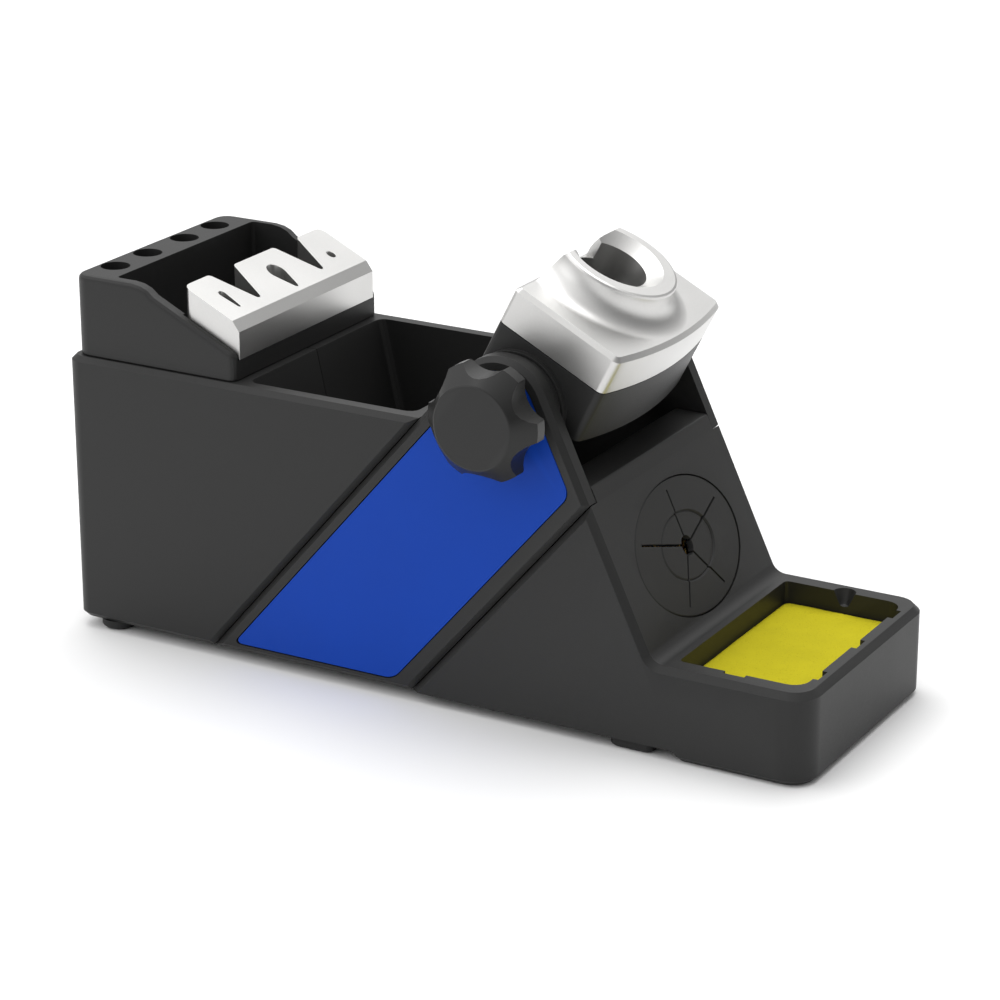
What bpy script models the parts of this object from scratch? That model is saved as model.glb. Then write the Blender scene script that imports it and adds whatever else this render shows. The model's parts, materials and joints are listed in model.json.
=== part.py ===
"""Bench stand for a soldering iron, with a parts bin, tip rack, clamped iron holder, wiper and sponge tray.

Lengths are in millimetres until mesh_object() turns them into metres. X runs from the bin at the back to
the sponge tray at the front, Y runs across the stand and Z is up. The outlines of the side view are built
from a few sloping lines, each written as (direction of its outward normal in degrees, distance along it).
"""

import math

import bmesh
import bpy
from mathutils import Matrix, Vector

MM = 0.001
GAP = 0.3  # clearance left between neighbouring pieces

# The whole stand
REAR_X = -3.7
FRONT_X = 247.2
HALF_WIDTH = 42.8
FLOOR_Z = -3.0
REAR_CHAMFER = 3.9
MIDDLE_CHAMFER = 2.7
FRONT_CHAMFER = 3.3
BASE_CHAMFER = 1.6
WALL = 2.8
MID_GAP = GAP / 2
HAIR = 0.02  # keeps two faces of a union from lying in one plane

# Pivot of the iron holder, and the ears that carry it
PIVOT_X = 149.1
PIVOT_Z = 92.3
EAR_CENTRE = (148.6, 93.0)
EAR_RADIUS = 15.7
EAR_THICKNESS = 5.5
EAR_INSIDE = HALF_WIDTH - EAR_THICKNESS
SEAM_LEAN = 40.8  # degrees forward from upright
FACE_LEAN = 25.25  # degrees backward from upright
MIDDLE_WIDTH = 53.4  # between the two leaning seams, square to them

# Rear module
BOX_TOP = 85.6
REAR_CORNER = 5.0
BIN_REAR_X = 60.0
BIN_REAR_LEAN = 12.6
BIN_FLOOR_Z = 42.0
BIN_HALF_WIDTH = 37.5

# Tip rack
RACK_REAR_X = -1.5
RACK_FRONT_X = 57.0
RACK_HALF_WIDTH = 40.4
RACK_TOP = 111.0
RACK_ROUND = 1.8
RACK_SLOPE = 25.6
SOCKET_X = 4.9
SOCKET_RADIUS = 4.55
SOCKET_SPACING = (-26.8, -9.9, 9.9, 26.8)
PULLER_HALF_WIDTH = 37.6
PULLER_NOTCH_Y = 17.6
PULLER_TOP_REAR = (37.6, 112.1)
PULLER_FRONT_X = 57.2
PULLER_SCREW_X = 52.6
PULLER_SCREW_Y = 24.0

# Front module
DECK_Z = 25.0
FACE_FILLET = 5.0
RIDGE_Z = 73.0
RIDGE_REAR_X = 164.2
TRAY_X = (203.6, 242.0)
TRAY_HALF_WIDTH = 35.8
TRAY_FLOOR_Z = 3.0
WIPER_X = 188.3
WIPER_Z = 45.5
WIPER_SEMI = (20.2, 30.1)  # up the slanted face, across it

# Iron holder, measured along its own tilted axes from the pivot
HOLDER_ORIGIN = (PIVOT_X, 0.0, PIVOT_Z)
HOLDER_TILT = 27.0
BLOCK_REAR = -16.3
BLOCK_FRONT = 20.9
BLOCK_HALF_WIDTH = 32.8
BLOCK_BULGE = 3.5
CUP_BASE = 0.9
CUP_TOP = 18.1
FLANGE_TOP = 30.5
COLLAR_TOP = 39.9
COLLAR_CENTRE = -4.3
COLLAR_RADIUS = 18.7
LIP_CENTRE = COLLAR_CENTRE + 0.9
BORE_RADIUS = 10.8
BOSS_RADIUS = 16.0
BOSS_END = 34.9

# Clamp knob
KNOB_FACE_Y = -59.0
KNOB_RIM_Y = -53.0
KNOB_BACK_Y = -48.4
KNOB_RADIUS = 17.8
KNOB_FACE_RADIUS = 12.6
KNOB_LOBES = 6
KNOB_TURN = 29.0  # degrees from +X to the first hollow between two lobes

# Feet, pegs and screws: (x, z) for the screws that lie across the stand, (x, y) for everything upright
REAR_FOOT = (7.9, 36.0)
FRONT_FOOT = (191.3, 37.8)
RACK_PEGS = ((12.0, 25.0), (41.0, 25.0))
SHELL_SCREWS = ((13.0, 13.0), (13.0, 70.0))
MIDDLE_SCREWS = ((74.0, 8.5), (112.0, 8.5))
COVER_SCREWS = ((134.5, 31.0), (181.5, 31.0))
NOZZLE_SCREWS = ((14.0, 22.5), (-10.5, 25.0))  # along the holder's own axes
LINK_Y = 20.0
LINK_Z = 12.0

FAR_END_Y = 44.2
DATUM = Vector(((REAR_X - 2.5 + FRONT_X) / 2, (KNOB_FACE_Y + FAR_END_Y) / 2, FLOOR_Z))


# ---------------------------------------------------------------- lines and outlines


def normal(angle):
    return math.cos(math.radians(angle)), math.sin(math.radians(angle))


def line_through(angle, point, offset=0.0):
    n = normal(angle)
    return angle, n[0] * point[0] + n[1] * point[1] + offset


def inset(line, distance):
    return line[0], line[1] - distance


def meet(first, second):
    a, b = normal(first[0]), normal(second[0])
    det = a[0] * b[1] - a[1] * b[0]
    x = (first[1] * b[1] - second[1] * a[1]) / det
    z = (a[0] * second[1] - b[0] * first[1]) / det
    return x, z


def arc(centre, radius, start, end, steps):
    points = []
    for i in range(steps + 1):
        c, s = normal(start + (end - start) * i / steps)
        points.append((centre[0] + radius * c, centre[1] + radius * s))
    return points


def rounded_rectangle(low, high, radius, steps=4):
    points = []
    for cx, cy, start in (
        (high[0] - radius, high[1] - radius, 0),
        (low[0] + radius, high[1] - radius, 90),
        (low[0] + radius, low[1] + radius, 180),
        (high[0] - radius, low[1] + radius, 270),
    ):
        points += arc((cx, cy), radius, start, start + 90, steps)
    return points


def level(z):
    return 90.0, z


def upright(x):
    return 0.0, x


PIVOT = (PIVOT_X, PIVOT_Z)
REAR_SEAM = line_through(180.0 - SEAM_LEAN, EAR_CENTRE, EAR_RADIUS)
FRONT_SEAM = inset(REAR_SEAM, MIDDLE_WIDTH)
FACE = line_through(FACE_LEAN, EAR_CENTRE, EAR_RADIUS)


def middle_outline(edge, seam, base):
    """Side view of the middle module, drawn in from its free edges, its front seam and its base."""
    rear, front = inset(REAR_SEAM, edge), inset(FACE, edge)
    lower_front = inset(FRONT_SEAM, -seam)
    points = [meet(rear, level(base)), meet(lower_front, level(base)), meet(lower_front, front)]
    return points + arc(EAR_CENTRE, EAR_RADIUS - edge, FACE_LEAN, 180.0 - SEAM_LEAN, 14)


# ---------------------------------------------------------------- meshes


def box_mesh(low, high):
    bm = bmesh.new()
    size = [h - l for l, h in zip(low, high)]
    middle = [(h + l) / 2 for l, h in zip(low, high)]
    bmesh.ops.create_cube(bm, size=1.0, matrix=Matrix.Translation(middle) @ Matrix.Diagonal((*size, 1.0)))
    return bm


def prism(outline, low, high, along="y"):
    """A flat outline drawn out along one axis: (x, z) outlines along y, (x, y) along z, (y, z) along x."""
    place = {
        "y": lambda p, d: (p[0], d, p[1]),
        "z": lambda p, d: (p[0], p[1], d),
        "x": lambda p, d: (d, p[0], p[1]),
    }[along]
    bm = bmesh.new()
    ends = [[bm.verts.new(place(p, d)) for p in outline] for d in (low, high)]
    bm.faces.new(ends[0])
    bm.faces.new(ends[1])
    count = len(outline)
    for i in range(count):
        j = (i + 1) % count
        bm.faces.new((ends[0][i], ends[0][j], ends[1][j], ends[1][i]))
    bmesh.ops.recalc_face_normals(bm, faces=bm.faces)
    return bm


def lathe(profile, steps, stretch=(1.0, 1.0)):
    """Turns a closed profile of (radius, height) about Z. A radius of 0 makes a point on the axis."""
    bm = bmesh.new()
    rings = []
    for radius, height in profile:
        if radius == 0.0:
            rings.append([bm.verts.new((0.0, 0.0, height))] * steps)
            continue
        ring = []
        for i in range(steps):
            c, s = normal(360.0 * i / steps)
            ring.append(bm.verts.new((radius * c * stretch[0], radius * s * stretch[1], height)))
        rings.append(ring)
    for k, ring in enumerate(rings):
        following = rings[(k + 1) % len(rings)]
        for i in range(steps):
            j = (i + 1) % steps
            corners = [ring[i], ring[j], following[j], following[i]]
            corners = [v for n, v in enumerate(corners) if v not in corners[:n]]
            if len(corners) > 2:
                bm.faces.new(corners)
    bmesh.ops.recalc_face_normals(bm, faces=bm.faces)
    return bm


def turned(bm, axis):
    """Lays a solid made along Z along another axis."""
    turn = {"x": Matrix.Rotation(math.pi / 2, 4, "Y"), "y": Matrix.Rotation(-math.pi / 2, 4, "X")}[axis]
    bmesh.ops.transform(bm, matrix=turn, verts=bm.verts)
    return bm


def moved(bm, offset):
    bmesh.ops.translate(bm, vec=offset, verts=bm.verts)
    return bm


def mirrored(bm):
    bmesh.ops.scale(bm, vec=(1.0, -1.0, 1.0), verts=bm.verts)
    bmesh.ops.reverse_faces(bm, faces=bm.faces)
    return bm


def one_side(bm, side):
    return bm if side > 0 else mirrored(bm)


def rod(radius, low, high, centre=(0.0, 0.0), axis="y", steps=24):
    """A round bar along an axis. Its centre gives the other two coordinates in x, y, z order."""
    bm = lathe([(0.0, low), (radius, low), (radius, high), (0.0, high)], steps)
    if axis == "z":
        return moved(bm, (*centre, 0.0))
    bm = turned(bm, axis)
    return moved(bm, (0.0, *centre) if axis == "x" else (centre[0], 0.0, centre[1]))


def soften(bm, chosen, width, segments=1):
    """Chamfers, or rounds when there are several segments, the edges whose two ends chosen() accepts."""
    edges = [e for e in bm.edges if chosen(e.verts[0].co, e.verts[1].co)]
    settings = {"segments": segments, "profile": 0.5, "affect": "EDGES", "clamp_overlap": True}
    bmesh.ops.bevel(bm, geom=edges, offset=width, **settings)
    return bm


def near_value(a, b):
    return abs(a - b) < 0.01


# ---------------------------------------------------------------- objects


def mesh_object(name, bm, material=None, origin=(0.0, 0.0, 0.0), tilt=0.0):
    """Makes the object in metres, with its origin at a point given in millimetres and tilted about Y."""
    bmesh.ops.scale(bm, vec=(MM, MM, MM), verts=bm.verts)
    mesh = bpy.data.meshes.new(name)
    bm.to_mesh(mesh)
    bm.free()
    mesh.shade_smooth()
    mesh.set_sharp_from_angle(angle=math.radians(30))
    obj = bpy.data.objects.new(name, mesh)
    bpy.context.scene.collection.objects.link(obj)
    obj.location = (Vector(origin) - DATUM) * MM
    obj.rotation_euler = (0.0, math.radians(tilt), 0.0)
    if material:
        mesh.materials.append(material)
    return obj


def combine(obj, bm, operation):
    """Adds or takes away a solid drawn in the same axes as the object, and returns that helper object."""
    helper = mesh_object(f"{obj.name}_{operation.lower()}_{len(obj.modifiers) + 1}", bm)
    helper.location = obj.location
    helper.rotation_euler = obj.rotation_euler
    helper.hide_render = True
    helper.display_type = "WIRE"
    modifier = obj.modifiers.new(operation.title(), "BOOLEAN")
    modifier.operation = operation
    modifier.solver = "EXACT"
    modifier.object = helper
    return helper


def cut(obj, bm):
    return combine(obj, bm, "DIFFERENCE")


def join(obj, bm):
    return combine(obj, bm, "UNION")


def plastic(name, colour, roughness):
    material = bpy.data.materials.new(name)
    material.use_nodes = True
    shader = material.node_tree.nodes["Principled BSDF"]
    shader.inputs["Base Color"].default_value = (*colour, 1.0)
    shader.inputs["Roughness"].default_value = roughness
    material.diffuse_color = (*colour, 1.0)
    return material


def metal(name, colour, roughness):
    material = plastic(name, colour, roughness)
    material.node_tree.nodes["Principled BSDF"].inputs["Metallic"].default_value = 1.0
    return material


def side_name(base, side):
    return f"{base}_near" if side < 0 else f"{base}_far"


# ---------------------------------------------------------------- rear module


def shell_screw_holes(obj, side, places):
    """A long screw from the far side draws the two halves together: a deep head hole, then a fine hole."""
    stepped = [(0.0, -1.0), (1.9, -1.0), (1.9, 10.0), (3.6, 10.0), (3.6, 60.0), (0.0, 60.0)]
    for x, z in places:
        if side > 0:
            cut(obj, moved(turned(lathe(stepped, 16), "y"), (x, 0.0, z)))
        else:
            cut(obj, rod(1.9, -14.0, 1.0, (x, z), "y", 16))


def link_rod(radius, line, low, high, side):
    """A round bar square to a leaning seam, from low to high along the way towards the back of the stand."""
    foot = meet(line, level(LINK_Z))
    bm = lathe([(0.0, low), (radius, low), (radius, high), (0.0, high)], 20)
    bmesh.ops.transform(bm, matrix=Matrix.Rotation(math.radians(SEAM_LEAN - 90.0), 4, "Y"), verts=bm.verts)
    return moved(bm, (foot[0], side * LINK_Y, foot[1]))


def rear_seam_inside(distance):
    """The leaning front wall of the rear module, drawn in towards the back."""
    return REAR_SEAM[0] + 180.0, -REAR_SEAM[1] - MID_GAP - distance


def rear_outline():
    seam = rear_seam_inside(0.0)
    return [(REAR_X, 0.0), meet(seam, level(0.0)), meet(seam, level(BOX_TOP)), (REAR_X, BOX_TOP)]


def bin_rear_line(offset):
    return line_through(180.0 + BIN_REAR_LEAN, (BIN_REAR_X, BOX_TOP), offset)


def rear_shell(side, material):
    bm = prism(rear_outline(), MID_GAP, HALF_WIDTH)
    corner = lambda a, b: near_value(a.x, REAR_X) and near_value(b.x, REAR_X) and a.y > 40 and b.y > 40
    soften(bm, corner, REAR_CORNER, 6)
    base = lambda a, b: near_value(a.z, 0) and near_value(b.z, 0) and a.y + b.y > 1 and a.x + b.x < 90
    soften(bm, base, BASE_CHAMFER)
    rim = lambda a, b: near_value(a.z, BOX_TOP) and near_value(b.z, BOX_TOP)
    top = lambda a, b: rim(a, b) and a.y + b.y > 1 and a.x + b.x < 200
    seam = lambda a, b: near_value(a.y, HALF_WIDTH) and near_value(b.y, HALF_WIDTH) and a.x > 40 and b.x > 40
    soften(bm, lambda a, b: top(a, b) or seam(a, b) and abs(a.z - b.z) > 20, REAR_CHAMFER)
    obj = mesh_object(side_name("rear_shell", side), one_side(bm, side), material)

    wall = rear_seam_inside(WALL)
    behind_bin = (180.0 + BIN_REAR_LEAN, bin_rear_line(WALL)[1])
    under = level(BIN_FLOOR_Z - WALL)
    ceiling = level(BOX_TOP - 3.0)
    store = [
        (REAR_X + 3.0, WALL),
        meet(wall, level(WALL)),
        meet(wall, under),
        meet(behind_bin, under),
        meet(behind_bin, ceiling),
        (REAR_X + 3.0, ceiling[1]),
    ]
    cut(obj, one_side(prism(store, -1.0, HALF_WIDTH - 3.0), side))
    for x, z in SHELL_SCREWS:
        join(obj, one_side(rod(5.6, MID_GAP + HAIR, HALF_WIDTH - 2.0, (x, z)), side))
    above = level(BOX_TOP + 3.0)
    floor = level(BIN_FLOOR_Z)
    back = bin_rear_line(0.0)
    hollow = [meet(back, floor), meet(wall, floor), meet(wall, above), meet(back, above)]
    pocket = prism(hollow, -1.0, BIN_HALF_WIDTH)
    soften(pocket, lambda a, b: a.y > 30 and b.y > 30 and min(a.z, b.z) < 80, 3.0, 4)
    cut(obj, one_side(pocket, side))
    shell_screw_holes(obj, side, SHELL_SCREWS)
    for x, y in RACK_PEGS:
        cut(obj, rod(2.3, BOX_TOP - 5.0, BOX_TOP + 2.0, (x, side * y), "z"))
    cut(obj, rod(2.0, -1.0, WALL + 1.0, (REAR_FOOT[0], side * REAR_FOOT[1]), "z"))
    cut(obj, link_rod(1.9, REAR_SEAM, -1.0, 6.0, side))
    return obj


def rear_cover_plate(material):
    outline = rounded_rectangle((-36.5, 6.0), (36.5, 47.5), 4.0)
    bm = prism(outline, REAR_X - 2.5, REAR_X - GAP, "x")
    outer = lambda a, b: near_value(a.x, REAR_X - 2.5) and near_value(b.x, REAR_X - 2.5)
    return mesh_object("rear_cover_plate", soften(bm, outer, 0.6), material)


# ---------------------------------------------------------------- middle module


def middle_shell(side, material):
    bm = prism(middle_outline(MID_GAP, MID_GAP, 0.0), EAR_INSIDE, HALF_WIDTH)
    outer = lambda a, b: near_value(a.y, HALF_WIDTH) and near_value(b.y, HALF_WIDTH)
    soften(bm, lambda a, b: outer(a, b) and a.z < 0.01 and b.z < 0.01, BASE_CHAMFER)
    soften(bm, lambda a, b: outer(a, b) and max(a.z, b.z) > 5, MIDDLE_CHAMFER)
    obj = mesh_object(side_name("middle_shell", side), one_side(bm, side), material)

    rear, front = inset(REAR_SEAM, MID_GAP + HAIR), inset(FRONT_SEAM, -MID_GAP - HAIR)
    rear_in, front_in = inset(rear, WALL), inset(front, -WALL)
    rear_top, front_top = level(83.0), level(50.0)
    trough = [
        meet(rear, level(HAIR)),
        meet(front, level(HAIR)),
        meet(front, front_top),
        meet(front_in, front_top),
        meet(front_in, level(WALL)),
        meet(rear_in, level(WALL)),
        meet(rear_in, rear_top),
        meet(rear, rear_top),
    ]
    join(obj, one_side(prism(trough, MID_GAP, EAR_INSIDE + 1.0), side))
    for x, z in MIDDLE_SCREWS:
        join(obj, one_side(rod(5.4, MID_GAP + HAIR, EAR_INSIDE + 1.4, (x, z)), side))
    cut(obj, one_side(panel_prism(-GAP, HALF_WIDTH - 1.5, HALF_WIDTH + 1.0), side))
    cut(obj, one_side(rod(3.3, EAR_INSIDE - 1.0, HALF_WIDTH + 1.0, PIVOT, "y", 32), side))
    shell_screw_holes(obj, side, MIDDLE_SCREWS)
    cut(obj, link_rod(1.9, REAR_SEAM, -6.0, 1.0, side))
    cut(obj, link_rod(1.9, FRONT_SEAM, -1.0, 6.0, side))
    return obj


def panel_prism(grow, low, high):
    """The inset panel of the middle module's side, shrunk by grow, with its three corners rounded."""
    bm = prism(middle_outline(4.4 + grow, 6.1 + grow, 2.8 + grow), low, high)
    corners = lambda a, b: near_value(a.x, b.x) and near_value(a.z, b.z) and (a.z < 6 or a.x > 168)
    return soften(bm, corners, 2.8, 4)


def badge_panel(side, material):
    bm = panel_prism(0.0, HALF_WIDTH - 1.2, HALF_WIDTH - 0.1)
    obj = mesh_object(side_name("badge_panel", side), one_side(bm, side), material)
    cut(obj, one_side(rod(8.0, 30.0, 50.0, PIVOT, "y", 32), side))
    return obj


# ---------------------------------------------------------------- front module


def face_fillet():
    n = normal(FACE_LEAN)
    z = DECK_Z + FACE_FILLET
    centre = ((FACE[1] + FACE_FILLET - n[1] * z) / n[0], z)
    return arc(centre, FACE_FILLET, 180.0 + FACE_LEAN, 270.0, 6)


def front_seam_line(distance):
    """The front module's leaning rear wall, drawn in towards the front."""
    return FRONT_SEAM[0], FRONT_SEAM[1] - MID_GAP - distance


def front_outline():
    seam = front_seam_line(0.0)
    points = [meet(seam, level(0.0)), meet(seam, FACE)]
    points += face_fillet()
    return points + [(FRONT_X, DECK_Z), (FRONT_X, FLOOR_Z), (208.0, FLOOR_Z), (205.4, 0.0)]


def wiper_frame(bm):
    """Stands a solid drawn flat, with its top at Z = 0, on the slanted face at the wiping membrane."""
    turn = Matrix.Rotation(math.radians(90.0 - FACE_LEAN), 4, "Y")
    bmesh.ops.transform(bm, matrix=turn, verts=bm.verts)
    return moved(bm, wiper_centre())


def wiper_centre():
    n = normal(FACE_LEAN)
    off = FACE[1] - n[0] * WIPER_X - n[1] * WIPER_Z
    return WIPER_X + n[0] * off, 0.0, WIPER_Z + n[1] * off


def tray_prism(inward, low, high):
    """The sponge tray's plan, drawn in all round: nearly square corners at the back and round ones in front."""
    side = TRAY_HALF_WIDTH - inward
    outline = [(TRAY_X[0] + inward, -side), (TRAY_X[1] - inward, -side)]
    outline += [(x, -y) for x, y in outline[::-1]]
    bm = prism(outline, low, high, "z")
    back = lambda a, b: near_value(a.x, b.x) and near_value(a.y, b.y) and a.x < TRAY_X[0] + 5.0
    ahead = lambda a, b: near_value(a.x, b.x) and near_value(a.y, b.y) and a.x > TRAY_X[1] - 5.0
    return soften(soften(bm, back, 1.6, 3), ahead, 5.0 - inward, 5)


def front_housing(material):
    bm = prism(front_outline(), -HALF_WIDTH, HALF_WIDTH)
    front = lambda a, b: near_value(a.x, FRONT_X) and near_value(b.x, FRONT_X)
    soften(bm, lambda a, b: front(a, b) and near_value(a.y, b.y), 8.5, 7)
    low = lambda a, b: near_value(a.z, FLOOR_Z) and near_value(b.z, FLOOR_Z)
    soften(bm, lambda a, b: low(a, b) and a.x + b.x > 420, BASE_CHAMFER)
    side = lambda a, b: near_value(abs(a.y), HALF_WIDTH) and near_value(a.y, b.y) and a.z + b.z > 20
    top_front = lambda a, b: near_value(a.z, DECK_Z) and near_value(b.z, DECK_Z) and min(a.x, b.x) > 238
    soften(bm, lambda a, b: side(a, b) or top_front(a, b), FRONT_CHAMFER)
    obj = mesh_object("front_housing", bm, material)

    face = inset(FACE, HAIR)
    ridge = [
        (RIDGE_REAR_X, 48.0),
        (176.0, 48.0),
        meet(face, level(60.0)),
        meet(face, level(RIDGE_Z)),
        (RIDGE_REAR_X, RIDGE_Z),
    ]
    bm = prism(ridge, -EAR_INSIDE + GAP, EAR_INSIDE - GAP)
    top = lambda a, b: near_value(a.z, RIDGE_Z) and near_value(b.z, RIDGE_Z) and near_value(a.x, b.x)
    join(obj, soften(bm, top, 0.8, 2))

    wall, inner_face = front_seam_line(WALL), inset(FACE, 5.5)
    hollow = [
        (130.0, -1.0),
        (186.0, -1.0),
        meet(upright(186.0), inner_face),
        meet(wall, inner_face),
        meet(wall, upright(130.0)),
    ]
    cut(obj, prism(hollow, -35.0, 35.0))
    for x, y in COVER_SCREWS:
        for side in (-1, 1):
            join(obj, rod(4.4, 2.3, 11.5, (x, side * y), "z", 20))
            cut(obj, rod(1.9, 1.0, 10.0, (x, side * y), "z", 12))
    cut(obj, box_mesh((127.0, -37.0, -3.0), (187.6, 37.0, 2.3)))

    semi = WIPER_SEMI
    recess = lathe([(0.0, -2.9), (1.0, -2.9), (1.0, 3.0), (0.0, 3.0)], 64, (semi[0] + GAP, semi[1] + GAP))
    cut(obj, wiper_frame(recess))
    throat = lathe([(0.0, -13.0), (1.0, -13.0), (1.0, 0.0), (0.0, 0.0)], 64, (semi[0] - 2.2, semi[1] - 2.8))
    cut(obj, wiper_frame(throat))

    cut(obj, tray_prism(0.0, TRAY_FLOOR_Z, DECK_Z + 2.0))
    for y in (-25.5, 0.8, 27.0):
        cut(obj, box_mesh((TRAY_X[1] - 2.0, y - 3.2, DECK_Z - 4.0), (TRAY_X[1] + 1.6, y + 3.2, DECK_Z + 2.0)))
    cut(obj, box_mesh((218.2, -TRAY_HALF_WIDTH - 1.6, DECK_Z - 4.0), (224.8, -30.0, DECK_Z + 2.0)))
    spout = lathe([(0.0, 0.0), (1.3, 0.4), (1.9, 1.4), (4.4, 6.6), (0.0, 6.6)], 24)
    cut(obj, moved(spout, (222.9, TRAY_HALF_WIDTH, DECK_Z - 4.8)))

    for side in (-1, 1):
        cut(obj, rod(2.0, -1.0, 6.0, (FRONT_FOOT[0], side * FRONT_FOOT[1]), "z", 16))
        cut(obj, link_rod(1.9, FRONT_SEAM, -6.0, 1.0, side))
    return obj


def base_cover(material):
    bm = box_mesh((127.3, -36.7, 0.0), (187.3, 36.7, 2.0))
    obj = mesh_object("base_cover", bm, material)
    for x, y in COVER_SCREWS:
        for side in (-1, 1):
            cut(obj, rod(1.9, -1.0, 3.0, (x, side * y), "z", 12))
            cut(obj, rod(3.2, -1.0, 1.1, (x, side * y), "z", 12))
    return obj


def brass_wool(material):
    wall, inner_face = front_seam_line(WALL + 1.2), inset(FACE, 7.0)
    outline = [
        (134.0, 2.6),
        (184.6, 2.6),
        meet(upright(184.6), inner_face),
        meet(wall, inner_face),
        meet(wall, upright(134.0)),
    ]
    bm = prism(outline, -25.5, 25.5)
    soften(bm, lambda a, b: True, 1.5, 2)
    return mesh_object("brass_wool", bm, material)


def wiping_membrane(material):
    """A rubber disc, oval to suit the face, with a lowered middle, a centre hole and five slits."""
    step = 0.495
    profile = [
        (0.0, -2.5),
        (step, -2.5),
        (step + 0.02, -2.0),
        (1.0, -2.0),
        (1.0, -0.4),
        (0.985, -0.15),
        (step + 0.02, -0.15),
        (step, -0.8),
        (step - 0.025, -0.45),
        (0.0, -0.45),
    ]
    bm = wiper_frame(lathe(profile, 60, WIPER_SEMI))
    centre = wiper_centre()
    obj = mesh_object("wiping_membrane", moved(bm, [-c for c in centre]), material, centre)
    cut(obj, moved(wiper_frame(rod(3.1, -4.0, 2.0, (0.0, 0.0), "z", 20)), [-c for c in centre]))
    for k in range(5):
        angle = 180.0 + 72.0 * k
        c, s = normal(angle)
        reach = 1.0 / math.hypot(c / (WIPER_SEMI[0] * 0.87), s / (WIPER_SEMI[1] * 0.87))
        slit = box_mesh((2.0, -0.35, -4.0), (reach, 0.35, 2.0))
        bmesh.ops.transform(slit, matrix=Matrix.Rotation(math.radians(angle), 4, "Z"), verts=slit.verts)
        cut(obj, moved(wiper_frame(slit), [-c2 for c2 in centre]))
    return obj


def sponge(material):
    return mesh_object("sponge", tray_prism(0.5, TRAY_FLOOR_Z + GAP, DECK_Z - 6.5), material)


def round_foot(side, material):
    pad = [(0.0, FLOOR_Z), (4.9, FLOOR_Z), (5.6, FLOOR_Z + 0.7), (5.6, -GAP)]
    profile = pad + [(1.7, -GAP), (1.7, 2.2), (0.0, 2.2)]
    bm = moved(lathe(profile, 24), (REAR_FOOT[0], side * REAR_FOOT[1], 0.0))
    return mesh_object(side_name("rear_foot", side), bm, material)


def long_foot(side, material):
    x, y = FRONT_FOOT[0], side * FRONT_FOOT[1]
    bm = prism(rounded_rectangle((x - 7.0, y - 4.0), (x + 7.0, y + 4.0), 2.6), FLOOR_Z, -GAP, "z")
    soften(bm, lambda a, b: near_value(a.z, FLOOR_Z) and near_value(b.z, FLOOR_Z), 0.6)
    obj = mesh_object(side_name("front_foot", side), bm, material)
    join(obj, rod(1.7, -1.0, 4.0, (x, y), "z", 16))
    return obj


# ---------------------------------------------------------------- tip rack


def rack_slope_z(x):
    return 93.8 + (RACK_FRONT_X - x) * math.tan(math.radians(RACK_SLOPE))


def rack_outline():
    shoulder = (20.0, RACK_TOP)
    start = (28.0, rack_slope_z(28.0))
    bend = [(23.2, RACK_TOP - 0.45), (25.8, RACK_TOP - 1.5)]
    base = BOX_TOP + GAP
    return [(RACK_REAR_X, base), (RACK_FRONT_X, base), (RACK_FRONT_X, 93.8), start] + bend[::-1] + [
        shoulder,
        (RACK_REAR_X, RACK_TOP),
    ]


def tip_rack(material):
    bm = prism(rack_outline(), -RACK_HALF_WIDTH, RACK_HALF_WIDTH)
    rear = lambda a, b: near_value(a.x, RACK_REAR_X) and near_value(b.x, RACK_REAR_X) and near_value(a.y, b.y)
    soften(bm, rear, REAR_CORNER, 6)
    front = lambda a, b: near_value(a.x, RACK_FRONT_X) and near_value(b.x, RACK_FRONT_X)
    soften(bm, lambda a, b: front(a, b) and near_value(a.y, b.y), 2.4, 4)
    upper = lambda a, b: min(a.z, b.z) > 93.5 and not (near_value(a.x, b.x) and near_value(a.y, b.y))
    outside = lambda a, b: abs(a.y) > 34 and abs(b.y) > 34 and a.y * b.y > 0
    back_edge = lambda a, b: near_value(a.x, RACK_REAR_X) and near_value(b.x, RACK_REAR_X)
    soften(bm, lambda a, b: upper(a, b) and (outside(a, b) or back_edge(a, b)), RACK_ROUND, 3)
    obj = mesh_object("tip_rack", bm, material)

    seat = PULLER_HALF_WIDTH + GAP
    slope = math.tan(math.radians(RACK_SLOPE))
    seat_z = lambda x: 91.7 + (RACK_FRONT_X + 0.2 - x) * slope
    well = rounded_rectangle((12.6, -36.8), (40.0, 36.8), 1.4)
    cut(obj, prism(well, 89.0, RACK_TOP + 3.0, "z"))
    cut(obj, prism(rounded_rectangle((30.0, -33.0), (48.4, 33.0), 3.0), 89.0, RACK_TOP + 3.0, "z"))
    slot = [(37.3, seat_z(37.3)), (60.0, seat_z(60.0)), (60.0, 118.0), (37.3, 118.0)]
    cut(obj, prism(slot, -seat, seat))
    for y in SOCKET_SPACING:
        cut(obj, rod(SOCKET_RADIUS, 89.0, RACK_TOP + 2.0, (SOCKET_X, y), "z", 24))
    for y in (-PULLER_SCREW_Y, PULLER_SCREW_Y):
        cut(obj, rod(1.9, 84.0, 96.0, (PULLER_SCREW_X, y), "z", 16))
        cut(obj, rod(3.2, 84.0, 88.6, (PULLER_SCREW_X, y), "z", 20))
    for x, y in RACK_PEGS:
        for side in (-1, 1):
            join(obj, rod(2.0, BOX_TOP - 2.5, BOX_TOP + 2.0, (x, side * y), "z", 16))
    return obj


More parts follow.
